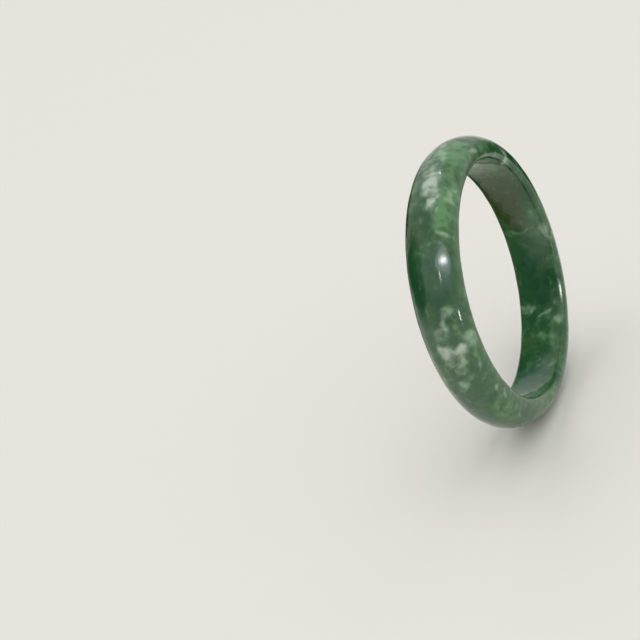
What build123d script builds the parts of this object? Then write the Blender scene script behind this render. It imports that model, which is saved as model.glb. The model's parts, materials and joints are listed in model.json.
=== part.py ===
from build123d import *
import os

# A one-piece bangle bracelet, cut and polished from a single block of jade.
# Units are millimetres. The ring stands upright: +Z is up and the bore runs along Y.
# The origin is the centre of the bore.

# ---- driving dimensions ----
BORE_DIAMETER = 58.0  # the opening that passes over the hand
BAND_WIDTH = 12.7  # from one side of the ring to the other, along the bore
BAND_THICKNESS = 6.6  # from the bore wall to the crown of the outer face
EDGE_RADIUS = 1.4  # rounding where the bore wall meets each side

# ---- worked out from them ----
BORE_RADIUS = BORE_DIAMETER / 2
HALF_WIDTH = BAND_WIDTH / 2
HALF_WALL = HALF_WIDTH - EDGE_RADIUS  # half the straight wall of the bore
DOME_BASE = BORE_RADIUS + EDGE_RADIUS  # radius at which the outer face leaves the sides
DOME_HEIGHT = BAND_THICKNESS - EDGE_RADIUS

os.makedirs("parts", exist_ok=True)

# ---- bangle: a D-shaped section turned once round the bore ----
# The section is drawn across the top of the ring: its x runs along the bore, its y outwards.
# The bore wall is straight, both its edges are rounded, and the outer face is half an ellipse
# that leaves the sides square to the bore.
with BuildPart() as bangle:
    with BuildSketch(Plane.YZ) as section:
        with BuildLine() as outline:
            Line((-HALF_WALL, BORE_RADIUS), (HALF_WALL, BORE_RADIUS))
            CenterArc((HALF_WALL, DOME_BASE), EDGE_RADIUS, -90, 90)
            EllipticalCenterArc((0, DOME_BASE), HALF_WIDTH, DOME_HEIGHT, arc_size=180)
            CenterArc((-HALF_WALL, DOME_BASE), EDGE_RADIUS, 180, 90)
        make_face()
    revolve(axis=Axis.Y, revolution_arc=360)

bangle.part.label = "bangle"
export_step(bangle.part, "parts/bangle.step")

box = bangle.part.bounding_box()
print(f"bangle: {bangle.part.volume / 1000:.2f} cm3, box {box.size.X:.2f} x {box.size.Y:.2f} x {box.size.Z:.2f} mm")
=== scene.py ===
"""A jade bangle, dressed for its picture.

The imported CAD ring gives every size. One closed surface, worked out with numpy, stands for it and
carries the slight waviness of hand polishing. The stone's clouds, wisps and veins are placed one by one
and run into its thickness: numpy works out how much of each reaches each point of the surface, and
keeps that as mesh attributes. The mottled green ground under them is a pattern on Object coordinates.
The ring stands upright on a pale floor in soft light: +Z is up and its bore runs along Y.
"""

import json
import logging
import math
from dataclasses import dataclass
from enum import Enum
from typing import Any

import bpy
import numpy as np
from mathutils import Matrix, Vector


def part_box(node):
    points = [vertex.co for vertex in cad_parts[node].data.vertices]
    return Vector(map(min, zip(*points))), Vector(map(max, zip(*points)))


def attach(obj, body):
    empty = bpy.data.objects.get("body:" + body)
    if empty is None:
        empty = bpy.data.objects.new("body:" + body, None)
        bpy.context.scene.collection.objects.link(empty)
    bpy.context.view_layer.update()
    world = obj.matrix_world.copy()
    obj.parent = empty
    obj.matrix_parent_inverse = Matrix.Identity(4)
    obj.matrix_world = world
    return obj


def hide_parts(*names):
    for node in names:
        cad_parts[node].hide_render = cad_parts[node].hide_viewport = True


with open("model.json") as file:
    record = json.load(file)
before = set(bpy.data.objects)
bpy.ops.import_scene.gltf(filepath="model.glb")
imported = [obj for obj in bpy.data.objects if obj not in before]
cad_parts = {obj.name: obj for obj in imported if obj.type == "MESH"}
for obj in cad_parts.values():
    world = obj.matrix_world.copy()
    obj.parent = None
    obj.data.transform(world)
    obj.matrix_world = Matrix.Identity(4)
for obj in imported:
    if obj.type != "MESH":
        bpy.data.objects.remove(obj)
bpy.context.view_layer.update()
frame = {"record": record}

LOG = logging.getLogger("bangle")
MM = 0.001


def linear(colour: str) -> tuple[float, float, float, float]:
    """Turns an sRGB hex colour to linear light.

    Args:
        colour: six hex digits after a hash sign.

    Returns:
        Red, green and blue from 0 to 1, and an alpha of 1.
    """
    parts = (int(colour[i : i + 2], 16) / 255 for i in (1, 3, 5))
    low_limit, low_slope, offset, power = 0.04045, 12.92, 0.055, 2.4
    curve = (p / low_slope if p <= low_limit else ((p + offset) / (1 + offset)) ** power for p in parts)
    return (*curve, 1.0)


def add_node(
    tree: bpy.types.NodeTree,
    kind: str,
    inputs: dict[int | str, Any] | None = None,
    **settings: Any,
) -> bpy.types.Node:
    """Adds one node with its settings, its values and its links.

    Args:
        tree: the node tree that gets it.
        kind: Blender's type name for the node.
        inputs: for each input, by name or place, a value to set or an output socket to link.
        settings: the node's own options, by attribute name.

    Returns:
        The new node.
    """
    node = tree.nodes.new(kind)
    for name, value in settings.items():
        setattr(node, name, value)
    for key, value in (inputs or {}).items():
        if isinstance(value, bpy.types.NodeSocket):
            tree.links.new(value, node.inputs[key])
        else:
            node.inputs[key].default_value = value
    return node


class Tint(Enum):
    """The colours that the stone shows, from its darkest ground to its whitest cloud."""

    INK = "#20502f"
    OLIVE = "#3b4d25"
    SLATE = "#355c48"
    MOSS = "#3c633d"
    LEAF = "#608d5f"
    MIST = "#8aa98a"
    SNOW = "#b6c4b4"

    @property
    def attribute(self) -> str:
        """Name of the mesh attribute that says how much of it the clouds bring."""
        return self.name.lower()


class Side(Enum):
    """The surface that a cloud is centred on."""

    FACE = "domed outer face"
    WALL = "bore wall"


@dataclass(frozen=True)
class Cloud:
    """One cloud, wisp or vein: a soft-edged egg of colour inside the stone.

    Attributes:
        side: the surface that its centre is on.
        around: place round the ring in degrees from its top, clockwise from the near side.
        across: place along the bore in mm from the band's middle; the near side is negative.
        size: half-sizes in mm along the surface, round the ring and across the band.
        tint: its colour.
        strength: how much of that colour it reaches at its core.
        turn: turn in degrees on the surface, from round the ring towards across the band.
        depth: half its thickness in mm, into the stone.
    """

    side: Side
    around: float
    across: float
    size: tuple[float, float]
    tint: Tint
    strength: float = 1.0
    turn: float = 0.0
    depth: float = 2.6


CLOUDS = (
    # outer face, top left: leaf green beside the bore, with paler and deeper spots
    Cloud(Side.FACE, -37, -4.4, (3.8, 3.0), Tint.LEAF),
    Cloud(Side.FACE, -24, -5.0, (5.0, 2.8), Tint.LEAF, 1.1),
    Cloud(Side.FACE, -2, -4.4, (7.0, 2.6), Tint.LEAF, 1.1),
    Cloud(Side.FACE, 22, -5.6, (8.0, 2.2), Tint.LEAF, 0.6),
    Cloud(Side.FACE, 8, -2.6, (3.0, 1.4), Tint.LEAF, 0.8),
    Cloud(Side.FACE, -17.4, -4.6, (2.2, 1.3), Tint.MOSS, 0.5),
    Cloud(Side.FACE, 14, -4.6, (2.4, 1.4), Tint.MOSS, 0.8),
    Cloud(Side.FACE, -27, -5.3, (1.6, 1.0), Tint.MIST, 0.9, 10),
    Cloud(Side.FACE, -21, -5.8, (1.4, 0.6), Tint.MIST, 0.8, -15),
    Cloud(Side.FACE, -33, -3.2, (0.7, 1.0), Tint.MIST, 0.7),
    Cloud(Side.FACE, -43.4, -4.5, (0.5, 2.0), Tint.MIST, 0.9, -20),
    Cloud(Side.FACE, -45.5, -3.2, (1.8, 0.5), Tint.MIST, 0.5, 35),
    Cloud(Side.FACE, 9, -6.2, (3.6, 0.8), Tint.MIST, 0.7),
    # outer face, top left: the white cloud along the crown, and the olive before it
    Cloud(Side.FACE, -12, 1.0, (8.5, 3.4), Tint.MIST, 0.4),
    Cloud(Side.FACE, -30.5, -2.3, (2.2, 1.2), Tint.SNOW, 0.7),
    Cloud(Side.FACE, -24, -1.7, (3.4, 1.7), Tint.SNOW, 0.75, 10),
    Cloud(Side.FACE, -16, -1.2, (3.6, 2.0), Tint.SNOW, 0.75),
    Cloud(Side.FACE, -20, 0.9, (3.6, 1.6), Tint.SNOW, 0.5, 14),
    Cloud(Side.FACE, -9, 1.4, (4.4, 2.2), Tint.SNOW, 0.4, 8),
    Cloud(Side.FACE, -4.5, -2.1, (3.2, 1.4), Tint.MIST, 0.9, -6),
    Cloud(Side.FACE, 4, 0.2, (4.5, 2.2), Tint.MIST, 0.8, -10),
    Cloud(Side.FACE, -39, 0.0, (4.4, 1.7), Tint.OLIVE, 0.5),
    Cloud(Side.FACE, -42, 2.6, (4.4, 1.7), Tint.OLIVE, 0.5),
    Cloud(Side.FACE, -45, 4.0, (9.0, 2.0), Tint.INK, 0.7),
    # outer face, left: the smooth deep stretch
    Cloud(Side.FACE, -55, -2.8, (5.0, 4.4), Tint.SLATE),
    Cloud(Side.FACE, -64, -4.4, (3.0, 3.6), Tint.INK, 0.6),
    Cloud(Side.FACE, -66, -1.6, (2.4, 2.4), Tint.INK, 0.9),
    Cloud(Side.FACE, -60, 3.4, (8.0, 2.6), Tint.INK),
    Cloud(Side.FACE, -73, 3.4, (6.0, 2.6), Tint.SLATE, 0.8),
    Cloud(Side.FACE, -80.5, -2.6, (1.8, 2.0), Tint.INK, 0.7),
    # outer face, lower left: the white band and the patch above it
    Cloud(Side.FACE, -83.6, -5.7, (2.2, 1.6), Tint.MIST, 1.0, 20),
    Cloud(Side.FACE, -84.6, -4.2, (1.1, 1.3), Tint.SNOW, 0.5),
    Cloud(Side.FACE, -87.2, -3.5, (1.6, 1.6), Tint.SNOW, 0.55),
    Cloud(Side.FACE, -86.4, -1.6, (1.5, 2.2), Tint.SNOW, 0.6, 6),
    Cloud(Side.FACE, -84.8, -1.2, (1.1, 1.6), Tint.SNOW, 0.35),
    Cloud(Side.FACE, -85.0, 0.6, (1.0, 1.6), Tint.SNOW, 0.5, -30),
    Cloud(Side.FACE, -84.4, 1.7, (1.0, 0.9), Tint.SNOW, 0.5),
    Cloud(Side.FACE, -89.6, -1.7, (1.8, 1.4), Tint.MIST, 0.7),
    Cloud(Side.FACE, -91.2, -2.9, (1.8, 0.7), Tint.MIST, 0.9, -12),
    Cloud(Side.FACE, -94.0, -1.3, (0.9, 1.3), Tint.MIST, 0.8, 20),
    Cloud(Side.FACE, -70.0, -2.9, (1.3, 1.1), Tint.MIST, 0.8),
    Cloud(Side.FACE, -73.4, -1.6, (2.0, 1.3), Tint.SNOW, 0.5, -25),
    Cloud(Side.FACE, -76.6, -0.2, (1.8, 1.9), Tint.SNOW, 0.55, -20),
    Cloud(Side.FACE, -79.2, 0.8, (1.6, 1.6), Tint.MIST, 0.6),
    # outer face, bottom left: an even grey green with faint streaks
    Cloud(Side.FACE, -112, -2.6, (8.0, 4.0), Tint.MOSS, 0.6),
    Cloud(Side.FACE, -133, -3.4, (8.0, 4.0), Tint.MOSS, 0.7),
    Cloud(Side.FACE, -155, -4.4, (9.0, 3.4), Tint.MOSS, 0.7),
    Cloud(Side.FACE, -90.0, -5.4, (1.4, 0.9), Tint.LEAF, 0.9),
    Cloud(Side.FACE, -95.5, -4.9, (2.2, 0.4), Tint.MIST, 0.7, -20),
    Cloud(Side.FACE, -96.5, -5.9, (2.2, 0.9), Tint.INK, 0.7),
    Cloud(Side.FACE, -100.2, -1.2, (1.2, 2.4), Tint.MIST, 0.8, 40),
    Cloud(Side.FACE, -104, 0.6, (5.0, 2.6), Tint.SLATE, 0.8),
    Cloud(Side.FACE, -109, -5.6, (1.2, 0.8), Tint.MIST, 0.8, -30),
    Cloud(Side.FACE, -114.6, -6.0, (1.6, 0.6), Tint.MIST, 0.8, -12),
    Cloud(Side.FACE, -103, -3.2, (3.0, 2.4), Tint.INK, 0.6),
    Cloud(Side.FACE, -114, -3.4, (4.0, 2.0), Tint.LEAF, 0.4),
    Cloud(Side.FACE, -126, -4.6, (5.5, 2.6), Tint.LEAF, 0.6),
    Cloud(Side.FACE, -124, -0.6, (4.0, 2.4), Tint.SLATE, 0.8),
    Cloud(Side.FACE, -132, -5.3, (2.0, 0.5), Tint.MIST, 0.7, -15),
    Cloud(Side.FACE, -146, -2.8, (2.6, 0.6), Tint.MIST, 0.6, -12),
    Cloud(Side.FACE, -164, -4.6, (7.0, 2.6), Tint.LEAF, 0.6),
    # outer face, right, beside the bore: a pale vein, then lighter green, and darker green that is
    # partly the stone's own and partly painted dark reflection
    Cloud(Side.FACE, 40, -6.2, (2.2, 0.8), Tint.SNOW, 0.8),
    Cloud(Side.WALL, 44, -5.6, (1.6, 1.2), Tint.SNOW, 0.9, 15),
    # this ink at the top right shoulder is partly the stone's dark green and partly painted dark
    # reflection
    Cloud(Side.WALL, 68, -6.0, (6.0, 1.6), Tint.INK, 0.9),
    Cloud(Side.WALL, 58, -4.9, (5.0, 0.5), Tint.LEAF, 0.6),
    Cloud(Side.WALL, 86, -4.4, (3.6, 1.6), Tint.LEAF, 0.5, -20),
    Cloud(Side.WALL, 97, -5.3, (3.4, 1.2), Tint.MIST, 0.8, -10),
    Cloud(Side.FACE, 112, -6.0, (5.0, 1.6), Tint.SLATE, 0.9),
    Cloud(Side.FACE, 143, -5.8, (1.4, 1.8), Tint.SNOW, 0.7),
    Cloud(Side.FACE, 160, -5.8, (5.0, 1.8), Tint.LEAF, 0.6),
    # bore wall, right: olive, a thin vein, the darkest green and its wisps
    Cloud(Side.WALL, 66, 1.6, (9.0, 6.0), Tint.OLIVE, 1.2),
    Cloud(Side.WALL, 84, 1.8, (5.0, 3.4), Tint.OLIVE, 1.3),
    Cloud(Side.WALL, 74, -4.0, (4.4, 1.8), Tint.INK, 0.7),
    Cloud(Side.WALL, 94.2, 2.6, (0.5, 1.8), Tint.LEAF, 0.9, 8),
    Cloud(Side.WALL, 93.6, -1.4, (0.5, 2.4), Tint.LEAF, 0.8, -14),
    Cloud(Side.WALL, 104, 1.0, (5.0, 6.0), Tint.INK, 0.5),
    Cloud(Side.WALL, 108, 0.8, (2.6, 1.4), Tint.SLATE, 0.9),
    Cloud(Side.WALL, 113, 1.8, (2.4, 0.6), Tint.SLATE, 0.9),
    Cloud(Side.WALL, 122, 1.0, (8.0, 6.5), Tint.INK),
    Cloud(Side.WALL, 135, -2.9, (1.0, 0.6), Tint.MIST, 0.6, 30),
    Cloud(Side.WALL, 137.5, -1.0, (0.8, 0.9), Tint.MIST, 0.7),
    Cloud(Side.WALL, 139, 0.4, (1.3, 0.7), Tint.MIST, 0.6, 40),
    Cloud(Side.WALL, 133.5, 4.0, (1.0, 1.8), Tint.MIST, 0.8, -20),
    Cloud(Side.WALL, 136, 3.0, (1.6, 0.5), Tint.MIST, 0.6, 20),
    Cloud(Side.WALL, 147, -1.0, (5.0, 4.6), Tint.LEAF, 0.3),
    Cloud(Side.WALL, 148, 0.5, (1.8, 0.7), Tint.MIST, 0.35, -15),
    Cloud(Side.WALL, 151, -2.6, (1.2, 1.0), Tint.MIST, 0.35),
    Cloud(Side.WALL, 143, -5.4, (1.1, 1.4), Tint.MIST, 0.8),
    Cloud(Side.WALL, 161, 0.0, (3.0, 5.0), Tint.INK, 0.8),
    # outer face, far side: the same kinds of cloud, spread as nature would
    Cloud(Side.FACE, 52, -2.0, (5.0, 2.4), Tint.LEAF, 0.8, 15),
    Cloud(Side.FACE, 60, 1.4, (3.0, 1.2), Tint.SNOW, 0.7, -25),
    Cloud(Side.FACE, 57, 3.6, (1.6, 1.0), Tint.MIST, 0.8, 10),
    Cloud(Side.FACE, 78, -1.0, (6.0, 3.0), Tint.INK, 0.9),
    Cloud(Side.FACE, 90, 2.2, (4.0, 2.4), Tint.OLIVE, 0.8),
    Cloud(Side.FACE, 103, -0.4, (1.4, 3.0), Tint.MIST, 0.9, 25),
    Cloud(Side.FACE, 107, 3.6, (2.4, 1.0), Tint.SNOW, 0.8, -15),
    Cloud(Side.FACE, 128, 0.4, (7.0, 4.0), Tint.SLATE, 0.9),
    Cloud(Side.FACE, 146, 2.2, (3.0, 1.6), Tint.LEAF, 0.9, 20),
    Cloud(Side.FACE, 152, -1.2, (2.2, 1.4), Tint.SNOW, 0.9, -30),
    Cloud(Side.FACE, 157, 1.4, (1.0, 2.2), Tint.MIST, 0.9, 15),
    Cloud(Side.FACE, 176, 0.6, (6.0, 2.8), Tint.INK, 0.8),
    Cloud(Side.FACE, -168, 3.4, (4.0, 1.6), Tint.LEAF, 0.8),
    Cloud(Side.FACE, -151, 2.6, (3.2, 1.4), Tint.SNOW, 0.7, 12),
    Cloud(Side.FACE, -143, 4.6, (2.6, 1.6), Tint.MIST, 0.8, -20),
    Cloud(Side.FACE, -128, 4.4, (6.0, 2.4), Tint.INK, 0.8),
    Cloud(Side.FACE, -106, 4.8, (5.0, 2.2), Tint.LEAF, 0.8),
    Cloud(Side.FACE, -88, 5.0, (2.6, 1.4), Tint.MIST, 0.9, 20),
    Cloud(Side.FACE, -66, 5.6, (5.0, 2.2), Tint.LEAF, 0.7),
    Cloud(Side.FACE, -44, 5.4, (3.6, 2.0), Tint.SNOW, 0.7, -10),
    Cloud(Side.FACE, -18, 4.8, (5.0, 2.2), Tint.LEAF, 0.9),
    Cloud(Side.FACE, 2, 4.6, (4.0, 2.2), Tint.SLATE, 0.8),
    Cloud(Side.FACE, 20, 3.2, (3.6, 1.6), Tint.SNOW, 0.6, 15),
    Cloud(Side.FACE, 34, 0.6, (4.0, 2.8), Tint.MOSS, 0.9),
    Cloud(Side.FACE, 34, 5.0, (4.0, 2.0), Tint.LEAF, 0.8),
    Cloud(Side.FACE, 82, 5.6, (5.0, 1.8), Tint.LEAF, 0.6),
    Cloud(Side.FACE, 122, 5.4, (2.4, 1.4), Tint.MIST, 0.8, 25),
    Cloud(Side.FACE, 166, 5.2, (4.4, 1.8), Tint.SLATE, 0.8),
    # bore wall, left and bottom
    Cloud(Side.WALL, 8, 0.6, (6.0, 4.0), Tint.OLIVE, 0.7),
    Cloud(Side.WALL, 28, 2.0, (5.0, 3.0), Tint.SLATE, 0.7),
    Cloud(Side.WALL, -16, -1.0, (3.0, 1.4), Tint.MIST, 0.8, 15),
    Cloud(Side.WALL, -32, 1.4, (5.0, 4.0), Tint.LEAF, 0.6),
    Cloud(Side.WALL, -54, -0.6, (6.0, 5.0), Tint.INK, 0.9),
    Cloud(Side.WALL, -74, 1.0, (1.0, 3.4), Tint.MIST, 0.8, -20),
    Cloud(Side.WALL, -88, -1.6, (4.0, 3.0), Tint.LEAF, 0.7),
    Cloud(Side.WALL, -104, 1.2, (2.2, 1.2), Tint.SNOW, 0.7, 30),
    Cloud(Side.WALL, -122, 0.0, (7.0, 5.0), Tint.INK, 0.8),
    Cloud(Side.WALL, -146, -1.4, (3.0, 1.6), Tint.MIST, 0.7, -15),
    Cloud(Side.WALL, -166, 1.0, (5.0, 3.4), Tint.SLATE, 0.8),
    Cloud(Side.WALL, 177, 0.5, (5.0, 6.0), Tint.SLATE, 0.9),
)


@dataclass(frozen=True)
class Swirl:
    """Smooth random pushes through space, as slow flow leaves in stone.

    Attributes:
        push_mm: the farthest that it pushes along each axis.
        width_mm: usual width of one swirl.
        seed: picks its random numbers.
        cells: steps of its random lattice before it repeats.
    """

    push_mm: float
    width_mm: float
    seed: int
    cells: int = 64

    def push(self, points: np.ndarray) -> np.ndarray:
        """How far each point is pushed.

        Random arrows stand on a cubic lattice. A point gets the mean of the eight round it,
        weighted along each axis by a smooth step between the two nearest.

        Args:
            points: points in mm, one to a row.

        Returns:
            The push of each point, in mm.
        """
        arrows = np.random.default_rng(self.seed).uniform(-1, 1, (self.cells,) * 3 + (3,))
        cell, part = np.divmod(points / self.width_mm, 1)
        cell = cell.astype(int)
        part = part**2 * (3 - 2 * part)
        total = np.zeros_like(points)
        for corner in np.ndindex(2, 2, 2):
            weight = np.where(corner, part, 1 - part).prod(1, keepdims=True)
            total += weight * arrows[tuple(((cell + corner) % self.cells).T)]
        return total * self.push_mm


@dataclass(frozen=True)
class Ring:
    """The ring: a straight bore wall, rounded edges, and half an ellipse outside.

    All lengths are in mm. The section is one closed line, and the ring is that line carried
    once round the bore.

    Attributes:
        bore: radius of the bore.
        half_width: half the band's width along the bore.
        half_wall: half the straight wall's width.
        crown: outermost radius.
        steps_around: mesh steps round the ring.
        steps_section: mesh steps round the section.
        waves: the polishing waves; for each, how many there are round the ring, how many round
            the section, and their height.
        swirls: what frays the clouds' outlines, from wide to fine.
        fade: where a cloud starts to fade and where it ends, in half-sizes from its centre.
    """

    bore: float
    half_width: float
    half_wall: float
    crown: float
    steps_around: int = 840
    steps_section: int = 116
    waves: tuple[tuple[int, int, float], ...] = ((23, 2, 0.014), (37, -3, 0.007), (14, 5, 0.006))
    swirls: tuple[Swirl, ...] = (Swirl(0.9, 5.0, 3), Swirl(0.8, 1.9, 5), Swirl(0.35, 0.8, 9))
    fade: tuple[float, float] = (0.1, 1.7)

    @classmethod
    def from_frame(cls) -> "Ring":
        """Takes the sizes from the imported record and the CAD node's box.

        Returns:
            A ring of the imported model's size.
        """
        dims = frame["record"]["mounts"][0]["dims"]
        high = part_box("bangle")[1]
        return cls(dims["r_mm"], high.y / MM, dims["length_mm"] / 2, high.z / MM)

    @property
    def edge(self) -> float:
        """Radius of the rounding between the wall and each side."""
        return self.half_width - self.half_wall

    @property
    def dome(self) -> float:
        """Height of the half ellipse."""
        return self.crown - self.bore - self.edge

    def section(self, steps: int) -> tuple[np.ndarray, np.ndarray]:
        """The section's line, in equal steps of its length.

        It runs along the bore wall, round a quarter circle, over half an ellipse and round the
        other quarter circle. It is worked out in fine steps, which are then evened out.

        Args:
            steps: number of points.

        Returns:
            Place along the bore, and radius, of each point.
        """
        base = self.bore + self.edge
        fine = 400
        wall = np.linspace(-self.half_wall, self.half_wall, fine, endpoint=False)
        turn = np.linspace(0, math.pi / 2, fine, endpoint=False)
        over = np.linspace(0, math.pi, 4 * fine, endpoint=False)
        along = np.concatenate([
            wall,
            self.half_wall + self.edge * np.sin(turn),
            self.half_width * np.cos(over),
            -self.half_wall - self.edge * np.cos(turn),
        ])
        radius = np.concatenate([
            np.full_like(wall, self.bore),
            base - self.edge * np.cos(turn),
            base + self.dome * np.sin(over),
            base - self.edge * np.sin(turn),
        ])
        closed = np.stack([np.append(along, along[0]), np.append(radius, radius[0])])
        length = np.append(0, np.cumsum(np.hypot(*np.diff(closed))))
        even = np.arange(steps) / steps * length[-1]
        return np.interp(even, length, closed[0]), np.interp(even, length, closed[1])

    def surface(self) -> np.ndarray:
        """The ring's points, with the waves of its polish.

        A point at turn t and section point (along, radius) is at
        (radius * sin t, along, radius * cos t). Each section point is first moved along the
        section's normal by the waves: the sum of height * sin(count * t + rolls * p), where p
        goes from 0 to a full turn round the section.

        Returns:
            The points in mm, one to a row, section by section.
        """
        along, radius = self.section(self.steps_section)
        turn = np.arange(self.steps_around)[:, None] / self.steps_around * 2 * math.pi
        phase = np.arange(self.steps_section) / self.steps_section * 2 * math.pi
        step_along = np.roll(along, -1) - np.roll(along, 1)
        step_radius = np.roll(radius, -1) - np.roll(radius, 1)
        length = np.hypot(step_along, step_radius)
        lift = sum(height * np.sin(count * turn + rolls * phase) for count, rolls, height in self.waves)
        along = along + lift * step_radius / length
        radius = radius - lift * step_along / length
        return np.stack([radius * np.sin(turn), along, radius * np.cos(turn)], -1).reshape(-1, 3)

    def quads(self) -> np.ndarray:
        """The ring's faces, each between two neighbours on a section and the same two on the next.

        Returns:
            The numbers of each face's four points, one face to a row.
        """
        turn = np.arange(self.steps_around)[:, None]
        place = np.arange(self.steps_section)
        here = turn * self.steps_section
        there = (turn + 1) % self.steps_around * self.steps_section
        beside = (place + 1) % self.steps_section
        corners = np.broadcast_arrays(here + place, here + beside, there + beside, there + place)
        return np.stack(corners, -1).reshape(-1, 4)

    def seat(self, cloud: Cloud) -> tuple[np.ndarray, np.ndarray]:
        """Where a cloud is: its centre on its surface, and its axes along and out of it.

        The domed face's radius is its base's plus dome * sqrt(1 - (across / half width) squared),
        and there the axes tilt with the surface.

        Args:
            cloud: the cloud.

        Returns:
            The centre in mm, and the axes as the columns of a matrix.
        """
        height, tilt = self.bore, 0.0
        if cloud.side is Side.FACE:
            rise = math.sqrt(1 - (cloud.across / self.half_width) ** 2)
            height += self.edge + self.dome * rise
            tilt = math.atan2(-cloud.across / self.half_width**2, rise / self.dome)
        round_bore = Matrix.Rotation(math.radians(cloud.around), 3, "Y")
        centre = round_bore @ Vector((0, cloud.across, height))
        on_surface = Matrix.Rotation(tilt, 3, "X") @ Matrix.Rotation(math.radians(cloud.turn), 3, "Z")
        return np.array(centre), np.array(round_bore @ on_surface)

    def covers(self, points: np.ndarray) -> dict[Tint, np.ndarray]:
        """How much of each tint the clouds bring to each point.

        Each swirl in turn pushes the points about first, which gives the clouds ragged outlines.
        A cloud's amount is its strength times a smooth step that falls from 1 to 0 across the
        fade, by the distance from its centre in half-sizes.

        Args:
            points: points in mm, one to a row.

        Returns:
            For each tint, the sum of its clouds at each point.
        """
        near, reach = self.fade
        pushed = points
        for swirl in self.swirls:
            pushed = pushed + swirl.push(pushed)
        totals = {tint: np.zeros(len(points)) for tint in Tint}
        for cloud in CLOUDS:
            centre, axes = self.seat(cloud)
            local = (pushed - centre) @ axes / (*cloud.size, cloud.depth)
            inside = np.clip((reach - np.linalg.norm(local, axis=1)) / (reach - near), 0, 1)
            totals[cloud.tint] += cloud.strength * inside**2 * (3 - 2 * inside)
        return totals

    def build(self, name: str) -> bpy.types.Object:
        """Builds the ring as one closed surface, with an attribute for each tint of its clouds.

        Args:
            name: name of the object.

        Returns:
            The object, at the origin, with its place in its mesh.
        """
        points, faces = self.surface(), self.quads()
        mesh = bpy.data.meshes.new(name)
        mesh.from_pydata((points * MM).tolist(), [], faces.tolist())
        mesh.polygons.foreach_set("use_smooth", np.ones(len(faces), bool))
        for tint, cover in self.covers(points).items():
            mesh.attributes.new(tint.attribute, "FLOAT", "POINT").data.foreach_set("value", cover)
        mesh.update()
        made = bpy.data.objects.new(name, mesh)
        bpy.context.scene.collection.objects.link(made)
        return made


@dataclass(frozen=True)
class Pattern:
    """Smooth random patches through the stone, with values round one half.

    Attributes:
        width_mm: usual width of one patch.
        detail: how many finer layers it has.
        swirls: how many of the stone's swirls push it about.
    """

    width_mm: float
    detail: float
    swirls: int = 0


@dataclass(frozen=True)
class Layer:
    """A tint laid over the stone by a smooth step of some value.

    Attributes:
        tint: its colour.
        start: the value at and before which none of it shows.
        end: the value at and past which the most of it shows; it may be less than start.
        most: how much of it shows there.
    """

    tint: Tint
    start: float
    end: float
    most: float = 1.0

    def lay(
        self,
        tree: bpy.types.NodeTree,
        value: bpy.types.NodeSocket,
        under: bpy.types.NodeSocket | tuple[float, ...],
        limit: bpy.types.NodeSocket | None = None,
    ) -> bpy.types.NodeSocket:
        """Lays the tint over a colour.

        Args:
            tree: the material's node tree.
            value: what it follows.
            under: the colour that it covers.
            limit: how much of it shows at most, where that isn't the same all over.

        Returns:
            The new colour.
        """
        amount = add_node(
            tree,
            "ShaderNodeMapRange",
            {
                "Value": value,
                "From Min": self.start,
                "From Max": self.end,
                "To Max": self.most if limit is None else limit,
            },
            interpolation_type="SMOOTHSTEP",
        )
        # a Mix node of colours takes the lower one at 6 and the upper one at 7, and gives at 2
        return add_node(
            tree,
            "ShaderNodeMix",
            {0: amount.outputs[0], 6: under, 7: linear(self.tint.value)},
            data_type="RGBA",
        ).outputs[2]


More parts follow.
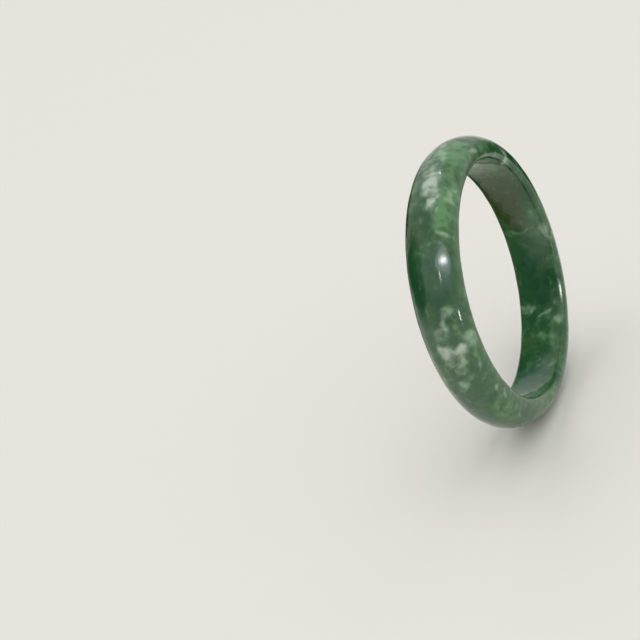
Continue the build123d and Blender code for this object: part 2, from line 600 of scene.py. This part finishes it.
@dataclass(frozen=True)
class PolishedJade:
    """Jade, sawn, ground and polished by hand: a glassy skin over a slightly translucent body.

    The polish gives sharp reflections with a faint halo. Light enters the stone a little way,
    which softens the pattern and the shading.

    Attributes:
        swirls_mm: the stone's swirls; for each, how far it pushes and its usual width.
        patches: the ground's wide light and dark patches.
        grain: the ground's mottling, which also breaks up the clouds and the threads.
        veins: the patches whose borders are the thin pale threads.
        moss: the ground's lighter green, over ink, by the patches.
        leaf: its light mottling, where the grain is high.
        ink: its dark mottling, where the grain is low.
        grain_range: low and high values of the grain.
        density: how much of a cloud's strength shows at those values.
        cloud_full: the amount of cloud that hides the ground.
        thread: the threads, by how far the veins are from one half.
        thread_grain: the grain's values at which a thread is gone and at which it shows most.
        thread_most: how much of a thread shows at most.
        polish: the patches where the polish is better or worse.
        polish_range: low and high values of those patches.
        roughness: roughness of the polish at its best and at its worst.
        dimples: the faint dimples that a hand polish leaves.
        dimple_mm: their depth.
        ior: index of refraction of jade.
        scatter: share of the light that enters the stone.
        depth_mm: how far light spreads inside it.
        spread: how far red, green and blue go, as shares of that.
    """

    swirls_mm: tuple[tuple[float, float], ...] = ((1.2, 7.0), (0.5, 1.6))
    patches: Pattern = Pattern(9.0, 3.0, 2)
    grain: Pattern = Pattern(2.2, 3.0, 2)
    veins: Pattern = Pattern(7.0, 2.0, 1)
    moss: Layer = Layer(Tint.MOSS, 0.3, 0.56)
    leaf: Layer = Layer(Tint.LEAF, 0.44, 0.72, 0.38)
    ink: Layer = Layer(Tint.INK, 0.5, 0.3, 0.45)
    grain_range: tuple[float, float] = (0.34, 0.64)
    density: tuple[float, float] = (0.45, 1.3)
    cloud_full: float = 1.2
    thread: Layer = Layer(Tint.MIST, 0.04, 0.0)
    thread_grain: tuple[float, float] = (0.5, 0.7)
    thread_most: float = 0.25
    polish: Pattern = Pattern(6.0, 3.0)
    polish_range: tuple[float, float] = (0.3, 0.7)
    roughness: tuple[float, float] = (0.06, 0.13)
    dimples: Pattern = Pattern(1.8, 1.0)
    dimple_mm: float = 0.012
    ior: float = 1.62
    scatter: float = 0.5
    depth_mm: float = 1.0
    spread: tuple[float, float, float] = (0.8, 1.0, 0.8)

    def patterns(self, tree: bpy.types.NodeTree) -> list[bpy.types.NodeSocket]:
        """Adds the stone's patterns.

        They are smooth noise on Object coordinates. Each swirl first pushes the place about, by
        2 * push * (noise colour - one half), from where the swirl before it left the place.

        Args:
            tree: the material's node tree.

        Returns:
            The values of the patches, the grain, the veins, the polish and the dimples.
        """
        places = [add_node(tree, "ShaderNodeTexCoord").outputs["Object"]]
        for push_mm, width_mm in self.swirls_mm:
            noise = add_node(
                tree, "ShaderNodeTexNoise", {"Vector": places[-1], "Scale": 1 / (width_mm * MM)}
            )
            middle = add_node(
                tree,
                "ShaderNodeVectorMath",
                {0: noise.outputs["Color"], 1: (0.5, 0.5, 0.5)},
                operation="SUBTRACT",
            )
            pushed = add_node(
                tree,
                "ShaderNodeVectorMath",
                {0: middle.outputs[0], 1: (2 * push_mm * MM,) * 3, 2: places[-1]},
                operation="MULTIPLY_ADD",
            )
            places.append(pushed.outputs[0])
        return [
            add_node(
                tree,
                "ShaderNodeTexNoise",
                {
                    "Vector": places[pattern.swirls],
                    "Scale": 1 / (pattern.width_mm * MM),
                    "Detail": pattern.detail,
                },
            ).outputs["Fac"]
            for pattern in (self.patches, self.grain, self.veins, self.polish, self.dimples)
        ]

    def clouds(
        self, tree: bpy.types.NodeTree, grain: bpy.types.NodeSocket, under: bpy.types.NodeSocket
    ) -> bpy.types.NodeSocket:
        """Lays the clouds over the ground, tint by tint, each as dense as the grain lets it be.

        Args:
            tree: the material's node tree.
            grain: the grain's value.
            under: the ground's colour.

        Returns:
            The new colour.
        """
        low, high = self.grain_range
        least, most = self.density
        density = add_node(
            tree,
            "ShaderNodeMapRange",
            {"Value": grain, "From Min": low, "From Max": high, "To Min": least, "To Max": most},
        )
        for tint in Tint:
            brought = add_node(tree, "ShaderNodeAttribute", attribute_name=tint.attribute)
            amount = add_node(
                tree,
                "ShaderNodeMath",
                {0: brought.outputs["Fac"], 1: density.outputs[0]},
                operation="MULTIPLY",
            )
            under = Layer(tint, 0.0, self.cloud_full).lay(tree, amount.outputs[0], under)
        return under

    def threads(
        self,
        tree: bpy.types.NodeTree,
        veins: bpy.types.NodeSocket,
        grain: bpy.types.NodeSocket,
        under: bpy.types.NodeSocket,
    ) -> bpy.types.NodeSocket:
        """Lays thin pale threads where the veins pass through one half, broken up by the grain.

        Args:
            tree: the material's node tree.
            veins: the veins' value.
            grain: the grain's value.
            under: the colour that they cover.

        Returns:
            The new colour.
        """
        middle = add_node(tree, "ShaderNodeMath", {0: veins, 1: 0.5}, operation="SUBTRACT")
        away = add_node(tree, "ShaderNodeMath", {0: middle.outputs[0]}, operation="ABSOLUTE")
        gone, full = self.thread_grain
        limit = add_node(
            tree,
            "ShaderNodeMapRange",
            {"Value": grain, "From Min": gone, "From Max": full, "To Max": self.thread_most},
            interpolation_type="SMOOTHSTEP",
        )
        return self.thread.lay(tree, away.outputs[0], under, limit.outputs[0])

    def material(self) -> bpy.types.Material:
        """Builds the material: the ground, then the clouds and the threads, under the polish.

        Returns:
            The material.
        """
        made = bpy.data.materials.new("jade_hand_polished")
        made.use_nodes = True
        tree = made.node_tree
        tree.nodes.clear()
        patches, grain, veins, polish, dimples = self.patterns(tree)
        colour = self.moss.lay(tree, patches, linear(Tint.INK.value))
        colour = self.leaf.lay(tree, grain, colour)
        colour = self.ink.lay(tree, grain, colour)
        colour = self.clouds(tree, grain, colour)
        colour = self.threads(tree, veins, grain, colour)

        low, high = self.polish_range
        best, worst = self.roughness
        rough = add_node(
            tree,
            "ShaderNodeMapRange",
            {"Value": polish, "From Min": low, "From Max": high, "To Min": best, "To Max": worst},
        )
        dimpled = add_node(tree, "ShaderNodeBump", {"Distance": self.dimple_mm * MM, "Height": dimples})
        shader = add_node(
            tree,
            "ShaderNodeBsdfPrincipled",
            {
                "Base Color": colour,
                "Normal": dimpled.outputs[0],
                "Roughness": rough.outputs[0],
                "IOR": self.ior,
                "Subsurface Weight": self.scatter,
                "Subsurface Radius": self.spread,
                "Subsurface Scale": self.depth_mm * MM,
            },
        )
        add_node(tree, "ShaderNodeOutputMaterial", {"Surface": shader.outputs[0]})
        return made


def hang(
    light: bpy.types.Light, towards: tuple[float, float, float], distance: float = 0.0, turn: float = 0.0
) -> bpy.types.Object:
    """Puts a light in the scene so that it shines at the ring, where the camera doesn't see it.

    Args:
        light: the light.
        towards: direction from the ring to it.
        distance: how far off it is, in m; light from far off needs none.
        turn: turn about its own beam, in degrees.

    Returns:
        The light's object.
    """
    made = bpy.data.objects.new(light.name, light)
    made.visible_camera = False
    bpy.context.scene.collection.objects.link(made)
    away = Vector(towards).normalized()
    facing = away.to_track_quat("Z", "Y").to_matrix() @ Matrix.Rotation(math.radians(turn), 3, "Z")
    made.matrix_world = Matrix.Translation(away * distance) @ facing.to_4x4()
    return made


@dataclass(frozen=True)
class Lamp:
    """A lamp that faces the ring, shows in its polish and lights nothing.

    Attributes:
        name: what it is for.
        towards: direction from the ring to it.
        distance: how far off it is, in m.
        size: width and height of its face, in m.
        power: in W.
        turn: turn of its face about its own beam, in degrees.
    """

    name: str
    towards: tuple[float, float, float]
    distance: float
    size: tuple[float, float]
    power: float
    turn: float = 0.0

    def build(self) -> None:
        """Makes the lamp."""
        data = bpy.data.lights.new(self.name, "AREA")
        data.shape = "ELLIPSE"
        data.size, data.size_y = self.size
        data.energy = self.power
        hang(data, self.towards, self.distance, self.turn).visible_diffuse = False


@dataclass(frozen=True)
class Glow:
    """Soft even light from far off, which lights the whole table alike and isn't in the polish.

    Attributes:
        name: what it stands for.
        towards: direction from the ring to it.
        spread: how wide it looks from the table, in degrees.
        strength: in W per square metre.
    """

    name: str
    towards: tuple[float, float, float]
    spread: float
    strength: float

    def build(self) -> None:
        """Makes the light."""
        data = bpy.data.lights.new(self.name, "SUN")
        data.angle = math.radians(self.spread)
        data.energy = self.strength
        hang(data, self.towards).visible_glossy = False


def disc(
    name: str,
    centre: tuple[float, float, float],
    facing: tuple[float, float, float],
    radius: float,
    steps: int,
    material: bpy.types.Material,
) -> bpy.types.Object:
    """Makes a flat round piece of the studio.

    Its rim is centre + radius * (cos t, sin t, 0), turned so that its third axis faces that way.

    Args:
        name: its name.
        centre: its centre in mm.
        facing: the direction that it faces.
        radius: in mm.
        steps: number of points on its rim.
        material: its material.

    Returns:
        The object.
    """
    turn = np.arange(steps) / steps * 2 * math.pi
    flat = np.stack([np.cos(turn), np.sin(turn), np.zeros(steps)], -1) * radius
    points = flat @ np.array(Vector(facing).to_track_quat("Z", "Y").to_matrix()).T + centre
    mesh = bpy.data.meshes.new(name)
    mesh.from_pydata((points * MM).tolist(), [], [list(range(steps))])
    mesh.materials.append(material)
    made = bpy.data.objects.new(name, mesh)
    bpy.context.scene.collection.objects.link(made)
    return made


@dataclass(frozen=True)
class Card:
    """A round dark card with a soft rim, that only the polish sees, as studios use for shiny things.

    Attributes:
        name: its name.
        centre: its centre in mm.
        facing: the direction that it faces.
        radius: in mm.
        rim: width in mm over which it fades out.
        colour: its colour.
        steps: number of points on its rim.
    """

    name: str
    centre: tuple[float, float, float]
    facing: tuple[float, float, float]
    radius: float
    rim: float
    colour: str = "#161714"
    steps: int = 64

    def material(self) -> bpy.types.Material:
        """Builds its felt: dull and near black, so that it shows as plain darkness in the polish.

        It fades to nothing across the rim.

        Returns:
            The material.
        """
        made = bpy.data.materials.new("black_felt")
        made.use_nodes = True
        tree = made.node_tree
        tree.nodes.clear()
        place = add_node(tree, "ShaderNodeTexCoord").outputs["Object"]
        centre = tuple(c * MM for c in self.centre)
        distance = add_node(tree, "ShaderNodeVectorMath", {0: place, 1: centre}, operation="DISTANCE")
        clear = add_node(
            tree,
            "ShaderNodeMapRange",
            {
                "Value": distance.outputs["Value"],
                "From Min": (self.radius - self.rim) * MM,
                "From Max": self.radius * MM,
            },
            interpolation_type="SMOOTHSTEP",
        )
        felt = add_node(tree, "ShaderNodeBsdfDiffuse", {"Color": linear(self.colour)})
        nothing = add_node(tree, "ShaderNodeBsdfTransparent")
        mixed = add_node(
            tree, "ShaderNodeMixShader", {0: clear.outputs[0], 1: felt.outputs[0], 2: nothing.outputs[0]}
        )
        add_node(tree, "ShaderNodeOutputMaterial", {"Surface": mixed.outputs[0]})
        return made

    def build(self) -> None:
        """Makes the card."""
        made = disc(self.name, self.centre, self.facing, self.radius, self.steps, self.material())
        made.visible_camera = False
        made.visible_diffuse = False
        made.visible_shadow = False
        made.visible_transmission = False


@dataclass(frozen=True)
class Studio:
    """The floor, the room, the lamps and the camera.

    Attributes:
        floor_z: height of the floor, in mm.
        floor_radius: in mm.
        floor_steps: number of points on its rim.
        floor_colour: colour of its paper.
        floor_roughness: roughness of its paper.
        room_strength: how bright the room is all round.
        eye: the camera's place, in mm.
        aim: the point at the middle of the picture, in mm.
        lean: turn of the camera about its line of sight, in degrees.
        lens: focal length in mm.
        sensor: width of the camera's sensor in mm.
    """

    floor_z: float
    floor_radius: float = 4000.0
    floor_steps: int = 96
    floor_colour: str = "#e6e4dc"
    floor_roughness: float = 0.9
    room_strength: float = 0.55
    eye: tuple[float, float, float] = (-256.7, -123.7, 129.0)
    aim: tuple[float, float, float] = (-20.1, 36.5, 9.2)
    lean: float = -26.2
    lens: float = 72.3
    sensor: float = 36.0

    def build_camera(self) -> None:
        """Makes the camera: its line of sight runs from eye to aim, then it leans."""
        data = bpy.data.cameras.new("camera")
        data.lens = self.lens
        data.sensor_width = self.sensor
        made = bpy.data.objects.new("camera", data)
        bpy.context.scene.collection.objects.link(made)
        eye, aim = Vector(self.eye) * MM, Vector(self.aim) * MM
        facing = (aim - eye).to_track_quat("-Z", "Y").to_matrix()
        rolled = facing @ Matrix.Rotation(math.radians(self.lean), 3, "Z")
        made.matrix_world = Matrix.Translation(eye) @ rolled.to_4x4()
        bpy.context.scene.camera = made

    def build_floor(self) -> None:
        """Makes the floor, a wide pale disc of matt paper, which gives no reflection to speak of."""
        paper = bpy.data.materials.new("matt_paper")
        paper.use_nodes = True
        shader = paper.node_tree.nodes["Principled BSDF"]
        shader.inputs["Base Color"].default_value = linear(self.floor_colour)
        shader.inputs["Roughness"].default_value = self.floor_roughness
        disc("floor", (0, 0, self.floor_z), (0, 0, 1), self.floor_radius, self.floor_steps, paper)

    def build_room(self) -> None:
        """Makes the room's light, white and the same from everywhere above."""
        world = bpy.data.worlds.new("room")
        bpy.context.scene.world = world
        world.use_nodes = True
        back = world.node_tree.nodes["Background"]
        back.inputs["Color"].default_value = linear("#ffffff")
        back.inputs["Strength"].default_value = self.room_strength

    def build_lamps(self) -> None:
        """Makes the light: the key's long soft highlight, three sparks, and two even glows.

        The key is three faces, one behind another, each wider and dimmer than the one before it.
        """
        key, slant = (-0.453, -0.667, 0.592), -29.0
        for lamp in (
            Lamp("key", key, 0.727, (0.30, 0.06), 0.45, slant),
            Lamp("key_rim", key, 0.731, (0.52, 0.12), 0.8, slant),
            Lamp("key_glow", key, 0.735, (0.90, 0.24), 0.9, slant),
            Lamp("spark", (-0.72, -0.402, 0.565), 0.733, (0.03, 0.015), 0.07, -54.0),
            Lamp("low_spark", (-0.512, -0.859, -0.03), 0.2, (0.02, 0.006), 0.02, 90.0),
            Lamp("top_spark", (0.518, -0.071, 0.853), 0.724, (0.02, 0.02), 0.05),
            Glow("window", (-0.35, -0.75, 0.8), 70.0, 0.92),
            Glow("ceiling", (0.5, 0.2, 1.2), 80.0, 0.86),
        ):
            lamp.build()

    def build_cards(self) -> None:
        """Makes the dark cards: two behind the ring, and one to its right."""
        for card in (
            Card("card_bore", (6.0, 20.0, 6.0), (0.0, -1.0, 0.0), 35.0, 9.0),
            Card("card_side", (-36.0, 20.0, 28.0), (0.0, -1.0, 0.0), 24.0, 11.0),
            Card("card_right", (70.0, -20.0, 10.0), (-1.0, 0.0, 0.0), 34.0, 22.0),
        ):
            card.build()

    def build(self) -> None:
        """Makes everything round the ring, and shows its colours as they are."""
        self.build_camera()
        self.build_floor()
        self.build_room()
        self.build_lamps()
        self.build_cards()
        bpy.context.scene.view_settings.view_transform = "Standard"


def main() -> None:
    """Builds the ring, dresses it and sets the studio round it."""
    logging.basicConfig(level=logging.INFO, format="%(name)s: %(message)s")
    ring = Ring.from_frame()
    bangle = ring.build("jade_bangle")
    bangle.data.materials.append(PolishedJade().material())
    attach(bangle, "root")
    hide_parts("bangle")
    LOG.info("ring: %d faces", len(bangle.data.polygons))
    Studio(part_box("bangle")[0].z / MM).build()
    LOG.info("studio: floor, room, lamps, cards and camera")


if __name__ == "__main__":
    main()
